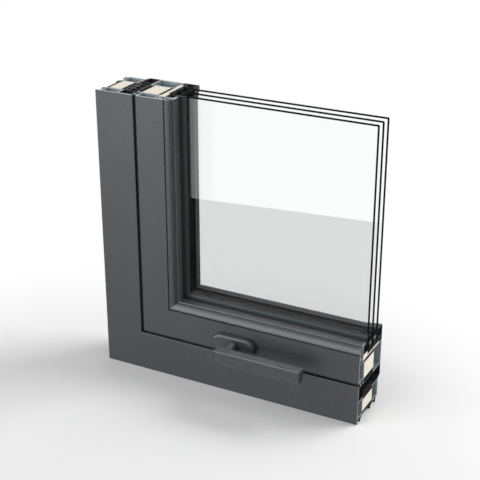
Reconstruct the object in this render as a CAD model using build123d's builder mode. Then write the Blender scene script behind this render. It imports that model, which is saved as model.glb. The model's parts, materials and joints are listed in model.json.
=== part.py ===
"""Corner sample of a thermally broken aluminium awning window, cut square at the top and the right.

The frame's jamb and sill and the sash's stile and bottom rail are extruded sections, mitred at the corner.
Section coordinates are the distance from the frame's outer edge and the depth from the room-side face.
"""
import os

from build123d import *

# Cut size of the sample
sample_width = 375.0
sample_height = 392.0

# Wall thicknesses and edge rounds
skin = 2.0
wall = 1.8
bead_wall = 1.5
bar_wall = 1.5
slim_bar_wall = 1.2
gasket_wall = 1.6
spacer_wall = 1.0
edge_round = 0.7
lip_round = 1.3
gasket_round = 1.5

# Depths of the frame and the sash, from the room side to the weather side
shell_depth = 17.5
break_depth = 32.5
frame_back_depth = 20.6
sash_back_depth = 27.2

# Widths of the frame, counted inwards from its outer edge
face_overhang = 7.0
frame_body = 26.0
frame_face = 55.6
frame_outer_bar = 4.0
frame_foam = 17.0
frame_inner_bar = 12.0
frame_bar_bays = 3

# Widths of the sash, counted inwards from its own edge
reveal_gap = 4.4
sash_step = 8.0
sash_body = 28.0
sash_face = 40.0
sash_foam = 23.0

# Dovetail roots that lock the insulating bars into the shells
root_neck = 2.0
root_head = 3.0
root_depth = 1.5
root_lip = 1.1

# Hardware groove on the edge of the sash
groove_start = 5.5
groove_reach = 6.5
groove_slot = 4.0
groove_lip = 1.8

# Foot strips held between ribs on the outer edge of the frame
foot_depths = (7.5, 42.5, 60.0)
foot_width = 7.0
foot_base = 3.4
fin_width = 2.4
foot_rib = 1.2
foot_rib_height = 2.2

# Glass unit and its rebate
pane = 4.0
cavity = 12.0
glass_depth = 26.2
rebate_strip = 4.4
rail_strip = 1.8
strip_block_width = 7.4
strip_overrun = 4.8
seal_height = 5.8
spacer_height = 15.0
desiccant_height = 6.5

# Glazing bead, clipped between the sash's lip and a catch rib
bead_joint = 1.2
bead_slit = 3.0
bead_lap = 0.4
bead_depth = 13.0
bead_face = 10.8
bead_round_depth = 7.4
nose_step = 1.0
bead_shoulder = 3.5
bead_shoulder_depth = 18.2
bead_fit = 0.2
catch_height = 1.4
catch_bite = 0.6
catch_inset = 1.8

# Glazing gaskets and weather gaskets
gasket_lip_wall = 1.2
gasket_lip_rise = 0.8
weather_lip = 22.0
weather_lip_wall = 3.2
weather_notch = 1.0
weather_notch_depth = 7.4
centre_gasket_start = 26.0
centre_gasket_depth = 22.0
overlap_gasket_depth = 21.0
overlap_bevel_width = 2.8
overlap_bevel_depth = 6.2
overlap_clearance = 0.3

# Handle
handle_from_edge = 201.5
handle_height = 74.5
handle_reach = 43.5
rosette_length = 62.0
rosette_height = 27.0
rosette_thickness = 10.0
rosette_round = 3.2
lever_length = 122.5
lever_heel = 10.8
lever_height = 18.6
lever_thickness = 13.5
lever_round = 2.4
neck_diameter = 17.0
neck_clearance = 0.2
socket_depth = 6.0
socket_clearance = 0.3

# Depth levels worked out from the sizes above
break_end = shell_depth + break_depth
frame_depth = break_end + frame_back_depth
sash_depth = break_end + sash_back_depth
root_inset = root_lip + root_head / 2
pane_depths = [glass_depth + index * (pane + cavity) for index in range(3)]
cavity_depths = [pane_depth + pane for pane_depth in pane_depths[:-1]]
glass_back = pane_depths[-1] + pane

# Distances from the outer edge, worked out in the same way
frame_in = face_overhang + frame_body
frame_foam_start = face_overhang + frame_outer_bar
frame_foam_end = frame_foam_start + frame_foam
frame_bar_end = frame_foam_end + frame_inner_bar
sash_edge = frame_face + reveal_gap
sash_out = sash_edge - sash_step
sash_in = sash_edge + sash_body
sash_foam_end = sash_edge + sash_foam
sash_lip_end = sash_edge + sash_face
frame_roots = (face_overhang + root_inset, frame_in - root_inset)
sash_roots = (sash_edge - root_inset, sash_in - root_inset)
glass_edge = sash_in + rebate_strip
rail_strip_end = sash_in + rail_strip
strip_block_end = sash_in + strip_block_width
bead_start = sash_in + bead_slit
bead_face_start = sash_lip_end + bead_joint
bead_top = bead_face_start + bead_face
bead_shoulder_start = bead_top - bead_shoulder
weather_lip_end = sash_in + weather_lip

# Place of the sample: centred on the origin, standing on the ground plane
corner_x = -sample_width / 2
face_y = (handle_reach - sash_depth) / 2
jamb_plane = Plane(origin=(corner_x, face_y, sample_height), x_dir=(1, 0, 0), z_dir=(0, 0, 1))
sill_plane = Plane(origin=(corner_x + sample_width, face_y, 0), x_dir=(0, 0, 1), z_dir=(-1, 0, 0))
mitre_plane = Plane(origin=(corner_x, face_y, 0), z_dir=(1, 0, -1))
upright = (jamb_plane, -sample_height, Keep.BOTTOM)
level = (sill_plane, sample_width, Keep.TOP)

os.makedirs("parts", exist_ok=True)


def block(near, far, front, back, mode=Mode.ADD):
    """Draw a rectangle in the open section, between two distances and two depths."""
    with Locations(((near + far) / 2, (front + back) / 2)):
        Rectangle(far - near, back - front, mode=mode)


def box_section(near, far, front, back, thickness):
    """Draw a hollow rectangle in the open section."""
    block(near, far, front, back)
    block(near + thickness, far - thickness, front + thickness, back - thickness, Mode.SUBTRACT)


def dovetail(distance, face, into, mode=Mode.ADD):
    """Draw a bar's dovetail root, which widens from a shell's face into the shell."""
    head = face + into * root_depth
    Polygon(
        (distance - root_neck / 2, face),
        (distance + root_neck / 2, face),
        (distance + root_head / 2, head),
        (distance - root_head / 2, head),
        align=None,
        mode=mode,
    )


def dovetail_groove(distance, face, into):
    """Draw the metal that holds a bar's root, with the root's shape cut out of it."""
    back = face + into * (root_depth + root_lip)
    block(distance - root_inset, distance + root_inset, min(face, back), max(face, back))
    dovetail(distance, face, into, Mode.SUBTRACT)


def foot_ribs(foot_depth):
    """Draw the two ribs on the frame's outer wall that hold a foot strip between them."""
    for rib_start in (foot_depth - foot_rib, foot_depth + foot_width):
        block(face_overhang - foot_rib_height, face_overhang, rib_start, rib_start + foot_rib)


def write(piece, name):
    """Label a finished piece and write it to its own file."""
    piece.part.label = name
    export_step(piece.part, f"parts/{name}.step")


def write_member(section, leg, name):
    """Extrude a section along one leg of the corner, mitre it and write it."""
    plane, length, kept_side = leg
    with BuildPart() as member:
        with BuildSketch(plane):
            add(section.sketch)
        extrude(amount=length)
        split(bisect_by=mitre_plane, keep=kept_side)
    write(member, name)


room_foot, bar_foot, weather_foot = foot_depths

# Frame, room-side shell: a face plate that laps the wall and the sash, with a hollow chamber behind it
with BuildSketch() as frame_room_shell:
    block(0, frame_face, 0, skin)
    block(face_overhang, frame_in, 0, shell_depth)
    block(face_overhang + wall, frame_in - wall, skin, shell_depth - wall, Mode.SUBTRACT)
    fillet(frame_room_shell.vertices().group_by(Axis.Y)[0], radius=edge_round)
    foot_ribs(room_foot)
    for root in frame_roots:
        dovetail_groove(root, shell_depth, -1)

# Frame, weather-side shell: one hollow chamber
with BuildSketch() as frame_weather_shell:
    box_section(face_overhang, frame_in, break_end, frame_depth, wall)
    fillet(frame_weather_shell.vertices().group_by(Axis.Y)[-1], radius=edge_round)
    foot_ribs(weather_foot)
    for root in frame_roots:
        dovetail_groove(root, break_end, 1)

# Frame, slim outer insulating bar
with BuildSketch() as frame_outer_bar_section:
    box_section(face_overhang, frame_foam_start, shell_depth, break_end, slim_bar_wall)
    dovetail(frame_roots[0], shell_depth, -1)
    dovetail(frame_roots[0], break_end, 1)
    foot_ribs(bar_foot)

# Frame, wide inner insulating bar, split into two rows of chambers
with BuildSketch() as frame_inner_bar_section:
    box_section(frame_foam_end, frame_bar_end, shell_depth, break_end, bar_wall)
    for bay in range(1, frame_bar_bays):
        web = shell_depth + break_depth * bay / frame_bar_bays
        block(frame_foam_end, frame_bar_end, web - bar_wall / 2, web + bar_wall / 2)
    middle = frame_foam_end + frame_inner_bar / 2
    block(middle - bar_wall / 2, middle + bar_wall / 2, shell_depth, break_end)
    dovetail(frame_roots[1], shell_depth, -1)
    dovetail(frame_roots[1], break_end, 1)

# Frame, foam core between the bars
with BuildSketch() as frame_foam_section:
    block(frame_foam_start, frame_foam_end, shell_depth, break_end)

# Frame, foot strips: low pads on the jamb, and the same pads on the sill with fins that stand on the ground
pad_top = face_overhang - foot_base
with BuildSketch() as jamb_foot_section:
    for foot_depth in foot_depths:
        block(pad_top, face_overhang, foot_depth, foot_depth + foot_width)
    fillet(jamb_foot_section.vertices().group_by(Axis.X)[0], radius=gasket_round)

with BuildSketch() as sill_foot_section:
    add(jamb_foot_section.sketch)
    for foot_depth in foot_depths:
        fin_start = foot_depth + (foot_width - fin_width) / 2
        block(0, face_overhang, fin_start, fin_start + fin_width)

# Stop gasket behind the frame's face plate
with BuildSketch() as stop_gasket_section:
    box_section(frame_in, sash_out, skin, shell_depth, gasket_wall)
    fillet(stop_gasket_section.vertices().group_by(Axis.X)[-1], radius=gasket_round)

# Centre gasket between the insulating zones of the frame and the sash
centre_gasket_end = centre_gasket_start + centre_gasket_depth
centre_web = (centre_gasket_start + centre_gasket_end) / 2
with BuildSketch() as centre_gasket_section:
    box_section(frame_bar_end, sash_out, centre_gasket_start, centre_gasket_end, gasket_wall)
    block(frame_bar_end, sash_out, centre_web - gasket_wall / 2, centre_web + gasket_wall / 2)
    fillet(centre_gasket_section.vertices().group_by(Axis.X)[-1], radius=gasket_round)

# Sash, room-side shell: face plate with a glazing lip, hollow chamber, hardware groove and bead catch
groove_edge = sash_edge - groove_reach
slot_front = (groove_start + shell_depth - groove_slot) / 2
catch_start = bead_depth - catch_inset - catch_height
catch_end = bead_start + catch_bite
with BuildSketch() as sash_room_shell:
    block(sash_edge, sash_lip_end, 0, skin)
    block(sash_edge, sash_in, 0, shell_depth)
    block(groove_edge, sash_edge, groove_start, shell_depth)
    block(sash_edge + wall, sash_in - wall, skin, shell_depth - wall, Mode.SUBTRACT)
    block(groove_edge + groove_lip, sash_edge, groove_start + wall, shell_depth - wall, Mode.SUBTRACT)
    block(groove_edge, groove_edge + groove_lip, slot_front, slot_front + groove_slot, Mode.SUBTRACT)
    face_corners = sash_room_shell.vertices().group_by(Axis.Y)[0].sort_by(Axis.X)
    fillet(face_corners[0], radius=edge_round)
    fillet(face_corners[-1], radius=lip_round)
    block(sash_in, catch_end, catch_start, catch_start + catch_height)
    for root in sash_roots:
        dovetail_groove(root, shell_depth, -1)

# Sash, weather-side shell: one hollow chamber
with BuildSketch() as sash_weather_shell:
    box_section(sash_out, sash_in, break_end, sash_depth, wall)
    for root in sash_roots:
        dovetail_groove(root, break_end, 1)

# Sash, insulating bars and the foam core between them
with BuildSketch() as sash_outer_bar_section:
    box_section(sash_out, sash_edge, shell_depth, break_end, bar_wall)
    dovetail(sash_roots[0], shell_depth, -1)
    dovetail(sash_roots[0], break_end, 1)

with BuildSketch() as sash_inner_bar_section:
    box_section(sash_foam_end, sash_in, shell_depth, break_end, bar_wall)
    dovetail(sash_roots[1], shell_depth, -1)
    dovetail(sash_roots[1], break_end, 1)

with BuildSketch() as sash_foam_section:
    block(sash_edge, sash_foam_end, shell_depth, break_end)

# Rebate strip: insulation that lines the glazing rebate, thinner on the rail to leave room for a rubber tail
strip_leg_end = glass_back + strip_overrun
with BuildSketch() as stile_strip_section:
    block(sash_in, glass_edge, bead_depth, strip_leg_end)
    block(sash_in, strip_block_end, bead_depth, glass_depth)

with BuildSketch() as rail_strip_section:
    block(sash_in, rail_strip_end, bead_depth, strip_leg_end)
    block(sash_in, strip_block_end, bead_depth, glass_depth)

# Glazing bead: hollow, hooked behind the sash's lip, with a rounded nose and a notch for the catch
bead_hook = skin + bead_fit
nose_end = bead_lap + bead_round_depth
nose_top = bead_top - nose_step
with BuildSketch() as bead_section:
    with BuildLine():
        TangentArc((bead_face_start, bead_lap), (nose_top, nose_end), tangent=(1, 0))
        Polyline(
            (nose_top, nose_end),
            (bead_top, nose_end),
            (bead_top, bead_shoulder_depth),
            (bead_shoulder_start, bead_shoulder_depth),
            (bead_shoulder_start, bead_depth),
            (bead_start, bead_depth),
            (bead_start, bead_hook),
            (bead_face_start, bead_hook),
            (bead_face_start, bead_lap),
        )
    make_face()
    with BuildLine():
        TangentArc(
            (bead_face_start + bead_wall, bead_lap + bead_wall),
            (nose_top - bead_wall, nose_end),
            tangent=(1, 0),
        )
        Polyline(
            (nose_top - bead_wall, nose_end),
            (nose_top - bead_wall, bead_depth - bead_wall),
            (bead_start + bead_wall, bead_depth - bead_wall),
            (bead_start + bead_wall, bead_hook + bead_wall),
            (bead_face_start + bead_wall, bead_hook + bead_wall),
            (bead_face_start + bead_wall, bead_lap + bead_wall),
        )
    make_face(mode=Mode.SUBTRACT)
    block(
        bead_start,
        catch_end + bead_fit,
        catch_start - bead_fit,
        catch_start + catch_height + bead_fit,
        Mode.SUBTRACT,
    )

# Inner glazing gasket, between the bead and the glass, with a hollow cove that rises to a thin lip on the glass
lip_face = glass_depth - gasket_lip_wall
cove_end = bead_top + lip_face - bead_shoulder_depth
lip_end = cove_end + gasket_lip_rise
with BuildSketch() as inner_gasket_section:
    with BuildLine():
        TangentArc((bead_top, bead_shoulder_depth), (cove_end, lip_face), tangent=(0, 1))
        Polyline(
            (cove_end, lip_face),
            (lip_end, lip_face),
            (lip_end, glass_depth),
            (strip_block_end, glass_depth),
            (strip_block_end, bead_depth),
            (bead_shoulder_start, bead_depth),
            (bead_shoulder_start, bead_shoulder_depth),
            (bead_top, bead_shoulder_depth),
        )
    make_face()
    block(
        strip_block_end + gasket_wall,
        bead_shoulder_start - gasket_wall,
        bead_depth + gasket_wall,
        glass_depth - gasket_wall,
        Mode.SUBTRACT,
    )

# Weather glazing gasket, flush with the back of the sash, with a notch between its lip and its flange
notch_start = sash_depth - weather_notch_depth
with BuildSketch() as stile_weather_section:
    block(glass_edge, weather_lip_end, glass_back, sash_depth)
    block(sash_in, glass_edge, strip_leg_end, sash_depth)
    block(
        glass_edge + gasket_wall,
        weather_lip_end - weather_lip_wall,
        glass_back + gasket_wall,
        sash_depth - gasket_wall,
        Mode.SUBTRACT,
    )
    fillet(stile_weather_section.vertices().group_by(Axis.X)[-1], radius=gasket_round)
    block(
        weather_lip_end - weather_notch,
        weather_lip_end,
        notch_start - weather_notch / 2,
        notch_start + weather_notch / 2,
        Mode.SUBTRACT,
    )

# On the rail the weather gasket also has a tail that the glass stands on
with BuildSketch() as rail_weather_section:
    add(stile_weather_section.sketch)
    block(rail_strip_end, glass_edge, glass_depth, strip_leg_end)

# Overlap gasket on the edge of the sash, closing the gap to the frame on the weather side
overlap_start = sash_depth - overlap_gasket_depth
overlap_tip = frame_in + overlap_clearance
bevel_start = sash_depth - overlap_bevel_depth
bevel_end = overlap_tip + overlap_bevel_width
with BuildSketch() as overlap_gasket_section:
    Polygon(
        (overlap_tip, overlap_start),
        (sash_out, overlap_start),
        (sash_out, sash_depth),
        (bevel_end, sash_depth),
        (overlap_tip, bevel_start),
        align=None,
    )
    block(bevel_end, sash_out - gasket_wall, overlap_start + gasket_wall, sash_depth - gasket_wall, Mode.SUBTRACT)

# Edge seals and spacers of the glass unit, one pair for each cavity, with an open chamber for the desiccant
spacer_start = glass_edge + seal_height
desiccant_start = spacer_start + spacer_wall
with BuildSketch() as edge_seal_section:
    for cavity_depth in cavity_depths:
        block(glass_edge, spacer_start, cavity_depth, cavity_depth + cavity)

with BuildSketch() as spacer_section:
    for cavity_depth in cavity_depths:
        block(spacer_start, spacer_start + spacer_height, cavity_depth, cavity_depth + cavity)
        block(
            desiccant_start,
            desiccant_start + desiccant_height,
            cavity_depth + spacer_wall,
            cavity_depth + cavity - spacer_wall,
            Mode.SUBTRACT,
        )

frame_sections = {
    "room_shell": frame_room_shell,
    "weather_shell": frame_weather_shell,
    "outer_bar": frame_outer_bar_section,
    "inner_bar": frame_inner_bar_section,
    "foam": frame_foam_section,
    "stop_gasket": stop_gasket_section,
    "centre_gasket": centre_gasket_section,
}
sash_sections = {
    "room_shell": sash_room_shell,
    "weather_shell": sash_weather_shell,
    "outer_bar": sash_outer_bar_section,
    "inner_bar": sash_inner_bar_section,
    "foam": sash_foam_section,
    "bead": bead_section,
    "inner_gasket": inner_gasket_section,
    "overlap_gasket": overlap_gasket_section,
    "edge_seals": edge_seal_section,
    "spacers": spacer_section,
}
for piece_name, section in frame_sections.items():
    write_member(section, upright, f"jamb_{piece_name}")
    write_member(section, level, f"sill_{piece_name}")
for piece_name, section in sash_sections.items():
    write_member(section, upright, f"stile_{piece_name}")
    write_member(section, level, f"rail_{piece_name}")

# Pieces whose section differs between the two legs
write_member(jamb_foot_section, upright, "jamb_foot_strips")
write_member(sill_foot_section, level, "sill_foot_strips")
write_member(stile_strip_section, upright, "stile_rebate_strip")
write_member(rail_strip_section, level, "rail_rebate_strip")
write_member(stile_weather_section, upright, "stile_weather_gasket")
write_member(rail_weather_section, level, "rail_weather_gasket")

# Three panes of glass, cut flush with the sample
for pane_name, pane_depth in zip(("inner_pane", "middle_pane", "outer_pane"), pane_depths):
    with BuildPart() as glass_pane:
        with BuildSketch(Plane.XZ.offset(-face_y - pane_depth)):
            with Locations((corner_x + glass_edge, glass_edge)):
                Rectangle(sample_width - glass_edge, sample_height - glass_edge, align=(Align.MIN, Align.MIN))
        extrude(amount=-pane)
    write(glass_pane, pane_name)

# Handle rosette, with a round socket for the neck of the lever
handle_x = corner_x + handle_from_edge
with BuildPart() as rosette:
    with BuildSketch(Plane.XZ.offset(-face_y)):
        with Locations((handle_x, handle_height)):
            SlotOverall(rosette_length, rosette_height)
    extrude(amount=rosette_thickness)
    fillet(rosette.faces().sort_by(Axis.Y)[0].edges(), radius=rosette_round)
    with BuildSketch(Plane.XZ.offset(rosette_thickness - face_y)):
        with Locations((handle_x, handle_height)):
            Circle(neck_diameter / 2 + neck_clearance)
    extrude(amount=-socket_depth, mode=Mode.SUBTRACT)
write(rosette, "handle_rosette")

# Handle lever: a square bar on a round neck that turns in the rosette
lever_back = handle_reach - lever_thickness
neck_length = lever_back - rosette_thickness + socket_depth - socket_clearance
lever_middle = handle_x - lever_heel + lever_length / 2
with BuildPart() as lever:
    with BuildSketch(Plane.XZ.offset(lever_back - face_y)):
        with Locations((lever_middle, handle_height)):
            Rectangle(lever_length, lever_height)
    extrude(amount=lever_thickness)
    fillet(lever.edges(), radius=lever_round)
    with BuildSketch(Plane.XZ.offset(lever_back - face_y)):
        with Locations((handle_x, handle_height)):
            Circle(neck_diameter / 2)
    extrude(amount=-neck_length)
write(lever, "handle_lever")
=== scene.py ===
"""Dresses the corner sample of an awning window: profiles, foam, gaskets, glass unit and lever handle."""
import json
import logging
import math
import random
from dataclasses import dataclass
from enum import Enum
from typing import Optional, Union

import bpy
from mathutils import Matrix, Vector

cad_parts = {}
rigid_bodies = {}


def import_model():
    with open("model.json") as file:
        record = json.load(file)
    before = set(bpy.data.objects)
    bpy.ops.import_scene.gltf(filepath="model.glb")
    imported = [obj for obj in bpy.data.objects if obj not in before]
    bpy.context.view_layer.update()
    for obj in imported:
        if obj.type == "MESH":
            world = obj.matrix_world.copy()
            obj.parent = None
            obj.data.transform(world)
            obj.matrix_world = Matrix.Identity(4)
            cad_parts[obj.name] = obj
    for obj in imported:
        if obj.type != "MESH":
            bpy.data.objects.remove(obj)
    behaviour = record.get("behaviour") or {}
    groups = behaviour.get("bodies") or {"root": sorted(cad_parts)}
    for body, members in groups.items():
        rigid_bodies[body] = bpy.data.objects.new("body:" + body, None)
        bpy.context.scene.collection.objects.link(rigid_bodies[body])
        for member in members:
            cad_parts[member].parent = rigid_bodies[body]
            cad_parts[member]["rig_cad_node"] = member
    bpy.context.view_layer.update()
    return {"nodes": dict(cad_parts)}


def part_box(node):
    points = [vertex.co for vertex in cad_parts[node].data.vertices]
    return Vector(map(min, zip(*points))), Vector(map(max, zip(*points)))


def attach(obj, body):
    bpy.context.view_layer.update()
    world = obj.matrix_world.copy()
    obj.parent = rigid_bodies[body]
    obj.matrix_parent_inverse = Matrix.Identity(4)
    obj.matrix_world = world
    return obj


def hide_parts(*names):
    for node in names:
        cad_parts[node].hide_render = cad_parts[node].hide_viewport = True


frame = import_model()

log = logging.getLogger("corner_sample")

Triple = tuple[float, float, float]
Colour = Triple
Pair = tuple[float, float]
Feed = Union[float, Colour, bpy.types.NodeSocket]

MM = 0.001
WELD_GAP = 0.002
FLAT_ANGLE = 0.2
CUT_SKIN = 0.03
WINDOW_BODY = "window"
HANDLE_BODY = "handle"
BARS = ("outer_bar", "inner_bar")


class Leg(Enum):
    """The two legs of the corner: frame member, sash member, axis across the profile and axis along it."""

    UPRIGHT = ("jamb", "stile", "X", "Z")
    LEVEL = ("sill", "rail", "Z", "X")

    @property
    def frame_member(self) -> str:
        """Name of the frame's profile on this leg."""
        return self.value[0]

    @property
    def sash_member(self) -> str:
        """Name of the sash's profile on this leg."""
        return self.value[1]

    @property
    def across(self) -> str:
        """Axis on which distances from the frame's outer edge are counted."""
        return self.value[2]

    @property
    def along(self) -> str:
        """Axis that the profile runs along, towards its saw cut."""
        return self.value[3]


@dataclass(frozen=True)
class Datum:
    """Where section sizes are counted from: the outer corner, the room-side face and the two saw cuts."""

    corner: Vector
    cuts: dict[Leg, float]

    @classmethod
    def from_frame(cls) -> "Datum":
        """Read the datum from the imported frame.

        Returns:
            The corner's lowest point on the room-side face, and the level of each saw cut.
        """
        low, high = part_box("jamb_room_shell")
        _, sill_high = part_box("sill_room_shell")
        return cls(corner=low, cuts={Leg.UPRIGHT: high.z, Leg.LEVEL: sill_high.x})

    def across(self, leg: Leg, distance: float) -> float:
        """Turn a distance from the outer edge, in millimetres, into the leg's cross coordinate."""
        return getattr(self.corner, leg.across.lower()) + distance * MM

    def depth(self, depth: float) -> float:
        """Turn a depth from the room-side face, in millimetres, into a Y coordinate."""
        return self.corner.y + depth * MM


DATUM = Datum.from_frame()


def shade(colour: Colour, share: float) -> Colour:
    """Return a colour made darker or lighter by a share."""
    return tuple(share * part for part in colour)


class Owner(Enum):
    """What a node tree belongs to: its collection, its output node and the coordinates that it reads."""

    MATERIAL = ("materials", "ShaderNodeOutputMaterial", "Object")
    SKY = ("worlds", "ShaderNodeOutputWorld", "Generated")


class Mixture(Enum):
    """What a Mix node mixes: its data type, its first input and its output."""

    NUMBERS = ("FLOAT", 2, 0)
    COLOURS = ("RGBA", 6, 2)


class ShaderGraph:
    """The node tree of one material or of the sky, built a node at a time."""

    def __init__(self, name: str, owner: Owner = Owner.MATERIAL) -> None:
        """Start an empty node tree that reads Object coordinates, or directions in the sky.

        Args:
            name: The material's or the sky's name.
            owner: What the node tree belongs to.
        """
        collection, output, place = owner.value
        self.owner = getattr(bpy.data, collection).new(name)
        self.owner.use_nodes = True
        self.tree = self.owner.node_tree
        self.tree.nodes.clear()
        self.output = self.node(output)
        texture = self.node("ShaderNodeTexCoord")
        self.place = texture.outputs[place]
        self.normal = texture.outputs["Normal"]

    def node(self, kind: str, **settings: object) -> bpy.types.Node:
        """Add a node.

        Args:
            kind: The node's type name.
            settings: Values for the node's own properties.

        Returns:
            The new node.
        """
        made = self.tree.nodes.new(kind)
        for name, value in settings.items():
            setattr(made, name, value)
        return made

    def feed(self, target: bpy.types.NodeSocket, value: Feed) -> None:
        """Link a socket to an input, or set the input's own value.

        Args:
            target: The input.
            value: The socket that drives it, or its plain value.
        """
        if isinstance(value, bpy.types.NodeSocket):
            self.tree.links.new(value, target)
        elif isinstance(value, tuple) and target.type == "RGBA":
            target.default_value = (*value, 1.0)
        else:
            target.default_value = value

    def math(
        self, operation: str, first: Feed, second: Feed = 0.0, third: Feed = 0.0
    ) -> bpy.types.NodeSocket:
        """Add a Math node and return its result.

        Args:
            operation: The node's operation.
            first: The first input.
            second: The second input, where the operation has one.
            third: The third input, where the operation has one.

        Returns:
            The result's socket.
        """
        made = self.node("ShaderNodeMath", operation=operation)
        for target, value in zip(made.inputs, (first, second, third)):
            self.feed(target, value)
        return made.outputs[0]

    def axis(self, source: bpy.types.NodeSocket, name: str) -> bpy.types.NodeSocket:
        """Take one axis out of a vector.

        Args:
            source: The vector's socket.
            name: X, Y or Z.

        Returns:
            The axis's socket.
        """
        made = self.node("ShaderNodeSeparateXYZ")
        self.feed(made.inputs[0], source)
        return made.outputs[name]

    def within(self, value: bpy.types.NodeSocket, low: float, high: float) -> bpy.types.NodeSocket:
        """Return 1 where a value lies between two limits and 0 elsewhere."""
        return self.math("COMPARE", value, (low + high) / 2, (high - low) / 2)

    def ramp(self, value: bpy.types.NodeSocket, limits: Pair) -> bpy.types.NodeSocket:
        """Add a smooth step.

        Args:
            value: The value that is read.
            limits: The value up to which the step is 0, and the one from which it is 1.

        Returns:
            The step's socket.
        """
        made = self.node("ShaderNodeMapRange", interpolation_type="SMOOTHSTEP")
        self.feed(made.inputs["Value"], value)
        made.inputs["From Min"].default_value, made.inputs["From Max"].default_value = limits
        return made.outputs["Result"]

    def minus(self, value: bpy.types.NodeSocket) -> bpy.types.NodeSocket:
        """Turn a value's sign round."""
        return self.math("MULTIPLY", value, -1.0)

    def blend(self, share: Feed, low: Feed, high: Feed) -> bpy.types.NodeSocket:
        """Mix two colours or two numbers.

        Args:
            share: The second one's share, between 0 and 1.
            low: The colour or number at a share of 0.
            high: The colour or number at a share of 1.

        Returns:
            The mix's socket.
        """
        is_socket = isinstance(low, bpy.types.NodeSocket)
        is_number = low.type == "VALUE" if is_socket else isinstance(low, float)
        mixture = Mixture.NUMBERS if is_number else Mixture.COLOURS
        data_type, first, result = mixture.value
        made = self.node("ShaderNodeMix", data_type=data_type)
        self.feed(made.inputs[0], share)
        self.feed(made.inputs[first], low)
        self.feed(made.inputs[first + 1], high)
        return made.outputs[result]

    def noise(
        self, grain: float, detail: float = 2.0, stretch: Triple = (1.0, 1.0, 1.0)
    ) -> bpy.types.NodeSocket:
        """Add a noise whose spots are about one grain wide.

        Args:
            grain: Width of a spot, in millimetres.
            detail: How many finer layers it has.
            stretch: Share of the pattern's speed on each axis, smaller where it is drawn out.

        Returns:
            The noise, between 0 and 1.
        """
        mapping = self.node("ShaderNodeMapping")
        self.feed(mapping.inputs["Vector"], self.place)
        mapping.inputs["Scale"].default_value = stretch
        made = self.node("ShaderNodeTexNoise")
        self.feed(made.inputs["Vector"], mapping.outputs[0])
        made.inputs["Scale"].default_value = 1.0 / (grain * MM)
        made.inputs["Detail"].default_value = detail
        return made.outputs[0]

    def cells(self, grain: float) -> bpy.types.NodeSocket:
        """Add rounded cells.

        Args:
            grain: Width of a cell, in millimetres.

        Returns:
            The distance to the middle of the cell, as a share of the grain.
        """
        made = self.node("ShaderNodeTexVoronoi")
        self.feed(made.inputs["Vector"], self.place)
        made.inputs["Scale"].default_value = 1.0 / (grain * MM)
        return made.outputs["Distance"]

    def bump(
        self, height: bpy.types.NodeSocket, depth: float, strength: float = 1.0
    ) -> bpy.types.NodeSocket:
        """Turn a height into a bumped normal.

        Args:
            height: The height, between 0 and 1.
            depth: The depth of the relief, in millimetres.
            strength: The relief's share of its full strength.

        Returns:
            The normal's socket.
        """
        made = self.node("ShaderNodeBump")
        made.inputs["Strength"].default_value = strength
        made.inputs["Distance"].default_value = depth * MM
        self.feed(made.inputs["Height"], height)
        return made.outputs[0]

    def surface(self, **values: Feed) -> bpy.types.Node:
        """Add the Principled shader, feed its inputs by name with _ for spaces, and show it.

        Args:
            values: Inputs such as Base_Color or Roughness.

        Returns:
            The shader's node.
        """
        made = self.node("ShaderNodeBsdfPrincipled")
        for name, value in values.items():
            self.feed(made.inputs[name.replace("_", " ")], value)
        self.tree.links.new(made.outputs[0], self.output.inputs["Surface"])
        return made

    def shader_mix(
        self, share: Feed, low: bpy.types.NodeSocket, high: bpy.types.NodeSocket
    ) -> bpy.types.NodeSocket:
        """Mix two shaders.

        Args:
            share: The second shader's share, between 0 and 1.
            low: The shader at a share of 0.
            high: The shader at a share of 1.

        Returns:
            The mixed shader's socket.
        """
        mixed = self.node("ShaderNodeMixShader")
        for target, value in zip(mixed.inputs, (share, low, high)):
            self.feed(target, value)
        return mixed.outputs[0]

    def sawn(self, leg: Leg) -> bpy.types.NodeSocket:
        """Return 1 on a profile's saw-cut end and 0 elsewhere."""
        end = DATUM.cuts[leg] - CUT_SKIN * MM
        return self.math("GREATER_THAN", self.axis(self.place, leg.along), end)


@dataclass(frozen=True)
class Hollow:
    """A hollow in a profile's section, out to the middle of the walls around it, in millimetres."""

    near: float
    far: float
    front: float
    back: float

    def mask(self, graph: ShaderGraph, leg: Leg) -> bpy.types.NodeSocket:
        """Return 1 on the hollow's own walls and 0 elsewhere.

        Args:
            graph: The material that is being built.
            leg: The leg that the profile runs on.

        Returns:
            The mask's socket.
        """
        across = graph.axis(graph.place, leg.across)
        depth = graph.axis(graph.place, "Y")
        inside = graph.within(across, DATUM.across(leg, self.near), DATUM.across(leg, self.far))
        deep = graph.within(depth, DATUM.depth(self.front), DATUM.depth(self.back))
        return graph.math("MULTIPLY", inside, deep)


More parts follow.
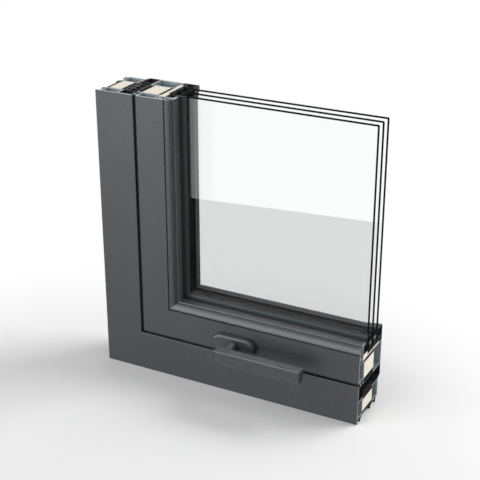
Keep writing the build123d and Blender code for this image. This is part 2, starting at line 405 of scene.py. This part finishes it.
@dataclass(frozen=True)
class PowderCoat:
    """Fine textured anthracite powder coat on aluminium, bare at the saw cut and in the hollow."""

    dark: Colour = (0.005, 0.0053, 0.0065)
    light: Colour = (0.052, 0.0548, 0.0657)
    grain: float = 1.7
    roughness: float = 0.45
    refraction: float = 1.8
    specular: float = 0.65
    sheen: Colour = (0.95, 0.965, 1.0)
    texture_depth: float = 0.07
    speck_limits: Pair = (0.3, 0.7)
    cloud_grains: float = 40.0
    cloud_share: float = 0.3
    roughness_spread: float = 0.12
    nose_tilt: float = 0.02
    saw_line: float = 0.5
    saw_stretch: Triple = (0.15, 2.0, 0.15)
    saw_shade: float = 0.82
    sawn_colour: Colour = (0.80, 0.83, 0.85)
    mill_colour: Colour = (0.58, 0.65, 0.68)
    sawn_share: float = 0.55
    mill_share: float = 0.88
    metal_roughness: float = 0.4

    def coat(self, graph: ShaderGraph) -> tuple[bpy.types.NodeSocket, bpy.types.NodeSocket]:
        """Build the coat's colour and its grain.

        Args:
            graph: The material that is being built.

        Returns:
            The colour's socket and the grain's height socket.
        """
        grain = graph.noise(self.grain, detail=3.0)
        cloud = graph.noise(self.grain * self.cloud_grains, detail=1.0)
        specks = graph.math("MULTIPLY", graph.ramp(grain, self.speck_limits), 1.0 - self.cloud_share)
        share = graph.math("MULTIPLY_ADD", cloud, self.cloud_share, specks)
        return graph.blend(share, self.dark, self.light), grain

    def unevenness(self, graph: ShaderGraph, grain: bpy.types.NodeSocket) -> bpy.types.NodeSocket:
        """Return the coat's roughness, which follows its grain."""
        lowest = self.roughness - self.roughness_spread / 2
        return graph.math("MULTIPLY_ADD", grain, self.roughness_spread, lowest)

    def plain(self, name: str) -> bpy.types.Material:
        """Make the coat alone, for a piece with no cut end.

        Args:
            name: The material's name.

        Returns:
            The material.
        """
        graph = ShaderGraph(name)
        colour, grain = self.coat(graph)
        graph.surface(
            Base_Color=colour,
            Roughness=self.unevenness(graph, grain),
            IOR=self.refraction,
            Specular_IOR_Level=self.specular,
            Specular_Tint=self.sheen,
            Normal=graph.bump(grain, self.texture_depth),
        )
        return graph.owner

    def profile(self, name: str, leg: Leg, hollow: Hollow, nosed: bool = False) -> bpy.types.Material:
        """Make the coat of an extruded profile, with its sawn end and its bare hollow.

        Args:
            name: The material's name.
            leg: The leg that the profile runs on.
            hollow: The chamber with bare walls.
            nosed: True where the outer face is rounded and reaches into the hollow's box.

        Returns:
            The material.
        """
        graph = ShaderGraph(name)
        colour, grain = self.coat(graph)
        bare = hollow.mask(graph, leg)
        if nosed:
            outwards = graph.math("GREATER_THAN", graph.axis(graph.normal, leg.across), self.nose_tilt)
            forwards = graph.math("LESS_THAN", graph.axis(graph.normal, "Y"), -self.nose_tilt)
            nose = graph.math("MULTIPLY", outwards, forwards)
            bare = graph.math("MULTIPLY", bare, graph.math("SUBTRACT", 1.0, nose))
        sawn = graph.sawn(leg)
        metal = graph.math("MAXIMUM", bare, sawn)
        saw_lines = graph.noise(self.saw_line, stretch=self.saw_stretch)
        sawn_shade = graph.blend(saw_lines, shade(self.sawn_colour, self.saw_shade), self.sawn_colour)
        colour = graph.blend(bare, colour, self.mill_colour)
        colour = graph.blend(sawn, colour, sawn_shade)
        relief = graph.blend(sawn, grain, saw_lines)
        graph.surface(
            Base_Color=colour,
            Metallic=graph.blend(sawn, graph.math("MULTIPLY", bare, self.mill_share), self.sawn_share),
            Roughness=graph.blend(metal, self.unevenness(graph, grain), self.metal_roughness),
            IOR=self.refraction,
            Specular_IOR_Level=self.specular,
            Specular_Tint=self.sheen,
            Normal=graph.bump(relief, self.texture_depth),
        )
        return graph.owner


@dataclass(frozen=True)
class RigidFoam:
    """Cream rigid foam with fine cells, whose pits carry painted shade."""

    pale: Colour = (0.93, 0.87, 0.77)
    shaded: Colour = (0.82, 0.74, 0.60)
    cell: float = 0.9
    cell_depth: float = 0.18
    cell_strength: float = 0.6
    pit_limits: Pair = (0.05, 0.6)
    pit_shade_share: float = 0.7
    cloud_cells: float = 9.0
    cloud_share: float = 0.25
    roughness: float = 0.9
    specular: float = 0.2

    def material(self, name: str) -> bpy.types.Material:
        """Make the foam's material.

        Args:
            name: The material's name.

        Returns:
            The material.
        """
        graph = ShaderGraph(name)
        cells = graph.cells(self.cell)
        cloud = graph.noise(self.cell * self.cloud_cells)
        pits = graph.ramp(cells, self.pit_limits)
        # Painted shade: the sunk middle of each cell is darkened towards the shaded colour, and the cloud
        # adds random tone on top.
        share = graph.math("MULTIPLY", graph.math("SUBTRACT", 1.0, pits), self.pit_shade_share)
        share = graph.math("MULTIPLY_ADD", cloud, self.cloud_share, share)
        graph.surface(
            Base_Color=graph.blend(share, self.pale, self.shaded),
            Roughness=self.roughness,
            Specular_IOR_Level=self.specular,
            Normal=graph.bump(pits, self.cell_depth, self.cell_strength),
        )
        return graph.owner


@dataclass(frozen=True)
class Extruded:
    """An extruded plastic or rubber, smooth along its length and rougher where it is sawn, with an
    optional painted highlight on faces turned outwards across the leg.
    """

    colour: Colour
    sawn_colour: Colour
    roughness: float
    sawn_roughness: float = 0.75
    specular: float = 0.5
    sheen: Colour = (1.0, 1.0, 1.0)
    lip_highlight_colour: Optional[Colour] = None
    grain: float = 0.6
    die_stretch: float = 0.02
    die_shade: float = 0.7
    speck_shade: float = 0.5
    lip_tilt: float = 0.5
    relief: float = 0.03

    def material(self, name: str, leg: Leg) -> bpy.types.Material:
        """Make the material of a piece on one leg.

        Args:
            name: The material's name.
            leg: The leg that the piece runs on.

        Returns:
            The material.
        """
        graph = ShaderGraph(name)
        stretch = tuple(self.die_stretch if axis == leg.along else 1.0 for axis in "XYZ")
        die_lines = graph.noise(self.grain, stretch=stretch)
        specks = graph.noise(self.grain, detail=3.0)
        sawn = graph.sawn(leg)
        flank = graph.blend(die_lines, shade(self.colour, self.die_shade), self.colour)
        # Painted highlight: faces turned outwards across the leg, such as the weather lip's top, get a
        # lighter grey that stands in for light falling on them.
        if self.lip_highlight_colour is not None:
            lip = graph.math("GREATER_THAN", graph.axis(graph.normal, leg.across), self.lip_tilt)
            flank = graph.blend(lip, flank, self.lip_highlight_colour)
        face = graph.blend(specks, shade(self.sawn_colour, self.speck_shade), self.sawn_colour)
        graph.surface(
            Base_Color=graph.blend(sawn, flank, face),
            Roughness=graph.blend(sawn, self.roughness, self.sawn_roughness),
            Specular_IOR_Level=self.specular,
            Specular_Tint=self.sheen,
            Normal=graph.bump(graph.blend(sawn, die_lines, specks), self.relief),
        )
        return graph.owner


@dataclass(frozen=True)
class ClearGlass:
    """Clear float glass that lets lamps through, with dark ground edges."""

    tint: Colour = (0.996, 0.999, 0.998)
    plain: float = 1.5
    coated: float = 1.75
    edge_colour: Colour = (0.006, 0.008, 0.008)
    edge_shade: float = 2.5
    edge_grain: float = 0.4
    edge_relief: float = 0.02
    edge_roughness: float = 0.7

    def clear(self, name: str, refraction: float) -> bpy.types.Material:
        """Make the material of a pane's faces.

        Args:
            name: The material's name.
            refraction: How strongly the face bends and mirrors light.

        Returns:
            The material.
        """
        graph = ShaderGraph(name)
        shader = graph.surface(
            Base_Color=self.tint,
            Roughness=0.0,
            IOR=refraction,
            Transmission_Weight=1.0,
        )
        path = graph.node("ShaderNodeLightPath")
        passing = graph.math("MAXIMUM", path.outputs["Is Shadow Ray"], path.outputs["Is Diffuse Ray"])
        through = graph.node("ShaderNodeBsdfTransparent")
        mixed = graph.shader_mix(passing, shader.outputs[0], through.outputs[0])
        graph.feed(graph.output.inputs["Surface"], mixed)
        return graph.owner

    def edge(self) -> bpy.types.Material:
        """Make the material of the panes' ground edges.

        Returns:
            The material.
        """
        graph = ShaderGraph("ground_glass_edge")
        grain = graph.noise(self.edge_grain)
        graph.surface(
            Base_Color=graph.blend(grain, self.edge_colour, shade(self.edge_colour, self.edge_shade)),
            Roughness=self.edge_roughness,
            Specular_IOR_Level=0.0,
            Normal=graph.bump(grain, self.edge_relief),
        )
        return graph.owner


@dataclass(frozen=True)
class DesiccantBeads:
    """Pale grey drying beads inside the spacer bars."""

    pale: Colour = (0.32, 0.34, 0.35)
    shaded: Colour = (0.18, 0.20, 0.205)
    cloud: float = 1.6
    roughness: float = 0.85
    specular: float = 0.25

    def material(self) -> bpy.types.Material:
        """Make the beads' material.

        Returns:
            The material.
        """
        graph = ShaderGraph("desiccant_beads")
        cloud = graph.noise(self.cloud)
        graph.surface(
            Base_Color=graph.blend(cloud, self.shaded, self.pale),
            Roughness=self.roughness,
            Specular_IOR_Level=self.specular,
        )
        return graph.owner


POLYAMIDE = Extruded(
    colour=(0.030, 0.028, 0.025), sawn_colour=(0.085, 0.087, 0.080), roughness=0.45, sawn_roughness=0.35
)
RUBBER = Extruded(
    colour=(0.015, 0.020, 0.020),
    sawn_colour=(0.010, 0.013, 0.013),
    roughness=0.42,
    sawn_roughness=0.42,
    sheen=(0.86, 1.0, 1.0),
)
# Weather gasket: black rubber whose outward-facing lip carries a painted highlight in a lighter grey.
LIP_RUBBER = Extruded(
    colour=(0.018, 0.022, 0.022),
    sawn_colour=(0.014, 0.016, 0.016),
    roughness=0.4,
    sawn_roughness=0.7,
    sheen=(0.86, 1.0, 1.0),
    lip_highlight_colour=(0.090, 0.104, 0.106),
)
SEALANT = Extruded(colour=(0.014, 0.015, 0.016), sawn_colour=(0.016, 0.017, 0.018), roughness=0.6)
SPACER = Extruded(
    colour=(0.003, 0.003, 0.003), sawn_colour=(0.006, 0.007, 0.007), roughness=0.5, specular=0.15
)
COAT = PowderCoat()
HANDLE_COAT = PowderCoat(grain=1.2, roughness=0.46, texture_depth=0.03)
FOAM = RigidFoam()
GLASS = ClearGlass()
BEADS = DesiccantBeads()


def deselect() -> None:
    """Leave nothing selected, so that the next operator acts on its own piece alone."""
    bpy.ops.object.select_all(action="DESELECT")


def start(name: str) -> bpy.types.Object:
    """Name the object that was just added or copied.

    Args:
        name: The new piece's name.

    Returns:
        The new piece.
    """
    piece = bpy.context.object
    piece.name = name
    piece.data.name = name
    return piece


def fix_in_place() -> None:
    """Move the active piece's place, turn and scale into its mesh."""
    bpy.ops.object.transform_apply(location=True, rotation=True, scale=True)


def dress(node: str, material: bpy.types.Material) -> None:
    """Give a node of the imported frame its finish.

    Args:
        node: The node's name.
        material: The finish.
    """
    piece = frame["nodes"][node]
    piece.data.materials.clear()
    piece.data.materials.append(material)
    log.info("dressed %s in %s", node, material.name)


def dress_each(member: str, pieces: tuple[str, ...], material: bpy.types.Material) -> None:
    """Give several pieces of one member the same finish.

    Args:
        member: The frame's or the sash's member on one leg.
        pieces: The pieces' names without their member.
        material: The finish.
    """
    for piece in pieces:
        dress(f"{member}_{piece}", material)


def dress_shells(member: str, leg: Leg, room_hollow: Hollow, weather_hollow: Hollow) -> None:
    """Give the two shells of one member their coats.

    Args:
        member: The frame's or the sash's member on one leg.
        leg: The leg that it runs on.
        room_hollow: The bare chamber of its room-side shell.
        weather_hollow: The bare chamber of its weather-side shell.
    """
    for side, hollow in (("room", room_hollow), ("weather", weather_hollow)):
        dress(f"{member}_{side}_shell", COAT.profile(f"{member}_{side}_coat", leg, hollow))


def join_body(piece: bpy.types.Object, body: str, slot: str, *nodes: str) -> None:
    """Let a new piece ride on a body and hide the nodes that it stands in for.

    Args:
        piece: The finished piece.
        body: The body that it moves with.
        slot: The record's material slot; not used.
        nodes: The nodes that it replaces.
    """
    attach(piece, body)
    if nodes:
        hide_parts(*nodes)
    log.info("built %s on %s", piece.name, body)


def smooth_copy(node: str, name: str, material: bpy.types.Material, angle: float) -> bpy.types.Object:
    """Copy a node's mesh, weld it and shade its rounds smooth.

    Args:
        node: The node to copy.
        name: The copy's name.
        material: The copy's finish.
        angle: The widest angle, in degrees, between faces of one round.

    Returns:
        The copy, free of the node's own marks.
    """
    source = frame["nodes"][node]
    deselect()
    source.select_set(True)
    bpy.context.view_layer.objects.active = source
    bpy.ops.object.duplicate()
    piece = start(name)
    del piece["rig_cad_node"]
    bpy.ops.object.mode_set(mode="EDIT")
    bpy.ops.mesh.select_all(action="SELECT")
    bpy.ops.mesh.remove_doubles(threshold=WELD_GAP * MM)
    bpy.ops.mesh.dissolve_limited(angle_limit=math.radians(FLAT_ANGLE))
    bpy.ops.object.mode_set(mode="OBJECT")
    bpy.ops.object.shade_smooth_by_angle(angle=math.radians(angle))
    bpy.ops.object.modifier_add(type="WEIGHTED_NORMAL")
    piece.modifiers[-1].keep_sharp = True
    bpy.ops.object.modifier_apply(modifier=piece.modifiers[-1].name)
    piece.data.materials.clear()
    piece.data.materials.append(material)
    return piece


@dataclass
class WindowFrame:
    """The fixed frame: two coated shells, insulating bars, foam, foot strips and gaskets on each leg."""

    room_hollow: Hollow = Hollow(7.9, 32.1, 1.0, 16.6)
    weather_hollow: Hollow = Hollow(7.9, 32.1, 50.9, 69.7)
    rubber_pieces: tuple[str, ...] = ("foot_strips", "stop_gasket", "centre_gasket")

    def dress(self) -> None:
        """Give each of the frame's pieces its finish."""
        for leg in Leg:
            member = leg.frame_member
            dress_shells(member, leg, self.room_hollow, self.weather_hollow)
            dress_each(member, BARS, POLYAMIDE.material(f"{member}_polyamide", leg))
            dress_each(member, self.rubber_pieces, RUBBER.material(f"{member}_rubber", leg))
            dress(f"{member}_foam", FOAM.material(f"{member}_foam_core"))


@dataclass
class Sash:
    """The sash: two coated shells, bars, foam, rebate strip, glazing bead and gaskets on each leg."""

    room_hollow: Hollow = Hollow(60.9, 87.1, 1.0, 16.6)
    weather_hollow: Hollow = Hollow(52.9, 87.1, 50.9, 76.3)
    bead_hollow: Hollow = Hollow(91.7, 110.2, 2.9, 12.2)
    nose_angle: float = 32.0
    rubber_pieces: tuple[str, ...] = ("inner_gasket", "overlap_gasket")
    foam_pieces: tuple[str, ...] = ("foam", "rebate_strip")

    def dress(self) -> None:
        """Give each of the sash's pieces its finish."""
        for leg in Leg:
            member = leg.sash_member
            dress_shells(member, leg, self.room_hollow, self.weather_hollow)
            dress_each(member, BARS, POLYAMIDE.material(f"{member}_polyamide", leg))
            dress_each(member, self.rubber_pieces, RUBBER.material(f"{member}_rubber", leg))
            dress(f"{member}_weather_gasket", LIP_RUBBER.material(f"{member}_lip_rubber", leg))
            dress_each(member, self.foam_pieces, FOAM.material(f"{member}_foam_core"))

    def build_beads(self) -> None:
        """Build the glazing beads with smoothly rounded noses."""
        for leg in Leg:
            member = leg.sash_member
            coat = COAT.profile(f"{member}_bead_coat", leg, self.bead_hollow, nosed=True)
            bead = smooth_copy(f"{member}_bead", f"{member}_glazing_bead", coat, self.nose_angle)
            join_body(bead, WINDOW_BODY, "coated_aluminium", f"{member}_bead")


@dataclass
class GlassUnit:
    """Three panes with their spacers, edge seals and drying beads."""

    arris: float = 1.6
    arris_steps: int = 3
    face_limit: float = 0.99
    chamber_near: float = 99.2
    chamber_height: float = 6.5
    chamber_wall: float = 1.0
    bead_diameter: float = 1.5
    bead_flatness: float = 0.92
    bead_segments: int = 8
    bead_rings: int = 5
    bead_shift: float = 0.25
    bead_layers: int = 2
    bead_inset: float = 0.2
    bead_sink: float = 7.0
    seed: int = 11

    def dress(self) -> None:
        """Give the spacers and the edge seals their finishes."""
        for leg in Leg:
            member = leg.sash_member
            dress(f"{member}_edge_seals", SEALANT.material(f"{member}_edge_sealant", leg))
            dress(f"{member}_spacers", SPACER.material(f"{member}_spacer_plastic", leg))

    def build_panes(self) -> None:
        """Build the panes, with rounded dark ground edges."""
        clear = GLASS.clear("clear_float_glass", GLASS.plain)
        coated = GLASS.clear("coated_float_glass", GLASS.coated)
        edge = GLASS.edge()
        for node, face_glass in (("inner_pane", coated), ("middle_pane", clear), ("outer_pane", clear)):
            low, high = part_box(node)
            deselect()
            bpy.ops.mesh.primitive_cube_add(size=1.0, location=(low + high) / 2)
            pane = start(f"{node}_glass")
            pane.scale = high - low
            fix_in_place()
            pane.data.materials.append(face_glass)
            pane.data.materials.append(edge)
            bpy.ops.object.mode_set(mode="EDIT")
            bpy.ops.mesh.select_all(action="SELECT")
            bpy.ops.mesh.bevel(offset=self.arris * MM, segments=self.arris_steps, affect="EDGES")
            bpy.ops.object.mode_set(mode="OBJECT")
            for face in pane.data.polygons:
                face.material_index = 0 if abs(face.normal.y) > self.face_limit else 1
            join_body(pane, WINDOW_BODY, "window_glass", node)

    def build_desiccant(self) -> None:
        """Build the drying beads near the sawn ends of the spacers, sunk in the upright leg."""
        material = BEADS.material()
        for leg in Leg:
            places = self.bead_places(leg, random.Random(self.seed))
            piece = self.first_bead(leg, places[0])
            bpy.ops.object.mode_set(mode="EDIT")
            bpy.ops.mesh.select_all(action="SELECT")
            for last, place in zip(places, places[1:]):
                bpy.ops.mesh.duplicate_move(TRANSFORM_OT_translate={"value": place - last})
            bpy.ops.object.mode_set(mode="OBJECT")
            bpy.ops.object.shade_smooth()
            piece.data.materials.append(material)
            join_body(piece, WINDOW_BODY, "spacer_bar")

    def first_bead(self, leg: Leg, place: Vector) -> bpy.types.Object:
        """Start the piece that holds all the beads of one leg with its first, slightly flat bead.

        Args:
            leg: The leg that the beads lie in.
            place: The bead's middle.

        Returns:
            The piece.
        """
        deselect()
        bpy.ops.mesh.primitive_uv_sphere_add(
            segments=self.bead_segments,
            ring_count=self.bead_rings,
            radius=self.bead_diameter * MM / 2,
            location=place,
        )
        piece = start(f"{leg.sash_member}_desiccant")
        piece.scale.y = self.bead_flatness
        fix_in_place()
        return piece

    def bead_places(self, leg: Leg, chance: random.Random) -> list[Vector]:
        """Work out where the beads of one leg lie.

        Args:
            leg: The leg whose spacers are filled.
            chance: The source of the beads' small shifts.

        Returns:
            The beads' middles, layer by layer behind the saw cut.
        """
        _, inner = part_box("inner_pane")
        middle_low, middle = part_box("middle_pane")
        outer_low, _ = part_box("outer_pane")
        step = self.bead_diameter * MM
        near = DATUM.across(leg, self.chamber_near) + step / 2
        sunk = self.bead_sink if leg is Leg.UPRIGHT else self.bead_inset
        rows = int(self.chamber_height / self.bead_diameter)
        places = []
        for front, back in ((inner.y, middle_low.y), (middle.y, outer_low.y)):
            start_y = front + self.chamber_wall * MM + step / 2
            columns = int((back - front - 2 * self.chamber_wall * MM) / step)
            for layer in range(self.bead_layers):
                along = DATUM.cuts[leg] - sunk * MM - (layer + 0.5) * step
                for row in range(rows):
                    for column in range(columns):
                        shift = chance.uniform(0, self.bead_shift) * step
                        place = Vector((0.0, start_y + column * step + shift, 0.0))
                        setattr(place, leg.across.lower(), near + row * step + shift)
                        setattr(place, leg.along.lower(), along - shift)
                        places.append(place)
        return places


@dataclass
class Handle:
    """The lever handle: a rosette on the rail and a square lever that turns on it."""

    finish: PowderCoat = HANDLE_COAT
    round_angle: float = 32.0

    def build(self) -> None:
        """Build the rosette and the lever with smooth rounds."""
        coat = self.finish.plain("handle_powder_coat")
        rosette = smooth_copy("handle_rosette", "rosette_cover", coat, self.round_angle)
        join_body(rosette, WINDOW_BODY, "handle_coat", "handle_rosette")
        lever = smooth_copy("handle_lever", "lever_grip", coat, self.round_angle)
        join_body(lever, HANDLE_BODY, "handle_coat", "handle_lever")


@dataclass(frozen=True)
class Lamp:
    """One soft rectangular lamp, aimed at the sample."""

    name: str
    place: Vector
    width: float
    height: float
    power: float

    def build(self, aim: Vector) -> None:
        """Hang the lamp and turn it to a point.

        Args:
            aim: The point.
        """
        deselect()
        bpy.ops.object.light_add(type="AREA", location=self.place)
        lamp = bpy.context.object
        lamp.name = self.name
        lamp.data.shape = "RECTANGLE"
        lamp.data.size = self.width
        lamp.data.size_y = self.height
        lamp.data.energy = self.power
        lamp.rotation_euler = (aim - self.place).to_track_quat("-Z", "Y").to_euler()


@dataclass
class Studio:
    """The pale floor, the soft white surroundings and the camera."""

    camera_place: Vector = Vector((0.61687, -1.17280, 0.79707))
    camera_aim: Vector = Vector((0.01166, 0.0, 0.21600))
    lens: float = 84.855
    floor_size: float = 12.0
    floor_colour: Colour = (0.97, 0.97, 0.97)
    floor_roughness: float = 0.95
    white_middle: Triple = (0.0, -0.3, 0.0)
    white_limits: Pair = (0.36, 0.68)
    sky_heading: Pair = (-0.45, -0.89)
    sky_light: float = 0.22
    back_light: float = 0.7
    back_limits: Pair = (0.0, 0.6)
    low_light: float = 1.0
    low_limits: Pair = (-0.4, -0.15)
    front_limits: Pair = (0.2, 0.6)
    band_light: float = 2.5
    band_limits: Pair = (-0.25, 0.05)
    sky_edge: Pair = (0.0575, 0.424)
    back_edge: float = 0.1
    under_light: float = 0.97
    under_limits: Pair = (0.7, 0.9)
    mirror_limit: float = 0.5
    lamps: tuple[Lamp, ...] = (
        Lamp("back_lamp", Vector((1.42, 1.2, 1.9)), 1.4, 1.4, 33.0),
        Lamp("key_lamp", Vector((-1.3, -2.1, 1.75)), 2.6, 2.6, 38.0),
    )

    def build(self) -> None:
        """Build the floor, the sky, the lamps and the camera."""
        self.build_floor()
        self.build_sky()
        for lamp in self.lamps:
            lamp.build(self.camera_aim)
        self.build_camera()

    def build_floor(self) -> None:
        """Lay the pale floor, which turns white far off and lets mirrored rays through to the sky."""
        deselect()
        bpy.ops.mesh.primitive_plane_add(size=self.floor_size)
        floor = start("studio_floor")
        graph = ShaderGraph("studio_floor_paper")
        paper = graph.surface(
            Base_Color=self.floor_colour,
            Roughness=self.floor_roughness,
            Specular_IOR_Level=0.0,
        )
        reach = graph.node("ShaderNodeVectorMath", operation="DISTANCE")
        graph.feed(reach.inputs[0], graph.place)
        graph.feed(reach.inputs[1], self.white_middle)
        white = graph.node("ShaderNodeEmission")
        distance = graph.ramp(reach.outputs["Value"], self.white_limits)
        seen = graph.shader_mix(distance, paper.outputs[0], white.outputs[0])
        through = graph.node("ShaderNodeBsdfTransparent")
        path = graph.node("ShaderNodeLightPath")
        mirrored = graph.math("MINIMUM", path.outputs["Glossy Depth"], 1.0)
        final = graph.shader_mix(mirrored, seen, through.outputs[0])
        graph.feed(graph.output.inputs["Surface"], final)
        floor.data.materials.append(graph.owner)

    def build_sky(self) -> None:
        """Light the sample by a white sky, with a bright band low down in front and soft light behind."""
        graph = ShaderGraph("studio_sky", Owner.SKY)
        upwards = graph.axis(graph.place, "Z")
        forwards = self.towards(graph, self.sky_heading)
        behind = graph.ramp(graph.minus(forwards), self.back_limits)
        strength = graph.blend(behind, self.sky_light, self.back_light)
        low = graph.ramp(graph.minus(upwards), self.low_limits)
        front = graph.math("MULTIPLY", low, graph.ramp(forwards, self.front_limits))
        band = graph.blend(graph.ramp(upwards, self.band_limits), self.low_light, self.band_light)
        strength = graph.blend(front, strength, band)
        edge = graph.math("MINIMUM", self.towards(graph, self.sky_edge), self.back_edge)
        strength = graph.math("MULTIPLY", strength, graph.math("GREATER_THAN", upwards, edge))
        underneath = graph.ramp(graph.minus(upwards), self.under_limits)
        strength = graph.math("MULTIPLY_ADD", underneath, self.under_light, strength)
        sky = graph.node("ShaderNodeBackground")
        graph.feed(sky.inputs["Color"], (1.0, 1.0, 1.0))
        graph.feed(sky.inputs["Strength"], graph.blend(self.straight_view(graph), strength, 1.0))
        graph.feed(graph.output.inputs["Surface"], sky.outputs[0])
        bpy.context.scene.world = graph.owner

    def straight_view(self, graph: ShaderGraph) -> bpy.types.NodeSocket:
        """Find where the camera sees the sky itself or through glass.

        Args:
            graph: The sky that is being built.

        Returns:
            1 for those views, and 0 for light and mirrored rays.
        """
        path = graph.node("ShaderNodeLightPath")
        unmirrored = graph.math("LESS_THAN", path.outputs["Glossy Depth"], self.mirror_limit)
        looking = graph.math("MAXIMUM", path.outputs["Is Camera Ray"], path.outputs["Is Transmission Ray"])
        return graph.math("MULTIPLY", looking, unmirrored)

    def towards(self, graph: ShaderGraph, heading: Pair) -> bpy.types.NodeSocket:
        """Return how far the sky's direction goes along a level heading, given by its X and Y parts."""
        sideways = graph.math("MULTIPLY", graph.axis(graph.place, "X"), heading[0])
        return graph.math("MULTIPLY_ADD", graph.axis(graph.place, "Y"), heading[1], sideways)

    def build_camera(self) -> None:
        """Set the camera at the photograph's view."""
        deselect()
        bpy.ops.object.camera_add(location=self.camera_place)
        camera = bpy.context.object
        camera.name = "studio_camera"
        camera.data.lens = self.lens
        camera.rotation_euler = (self.camera_aim - self.camera_place).to_track_quat("-Z", "Y").to_euler()
        bpy.context.scene.camera = camera
        bpy.context.scene.view_settings.view_transform = "Standard"


def main() -> None:
    """Build and dress the sample, then the studio around it."""
    logging.basicConfig(level=logging.INFO)
    WindowFrame().dress()
    sash = Sash()
    sash.dress()
    sash.build_beads()
    unit = GlassUnit()
    unit.dress()
    unit.build_panes()
    unit.build_desiccant()
    Handle().build()
    Studio().build()


if __name__ == "__main__":
    main()
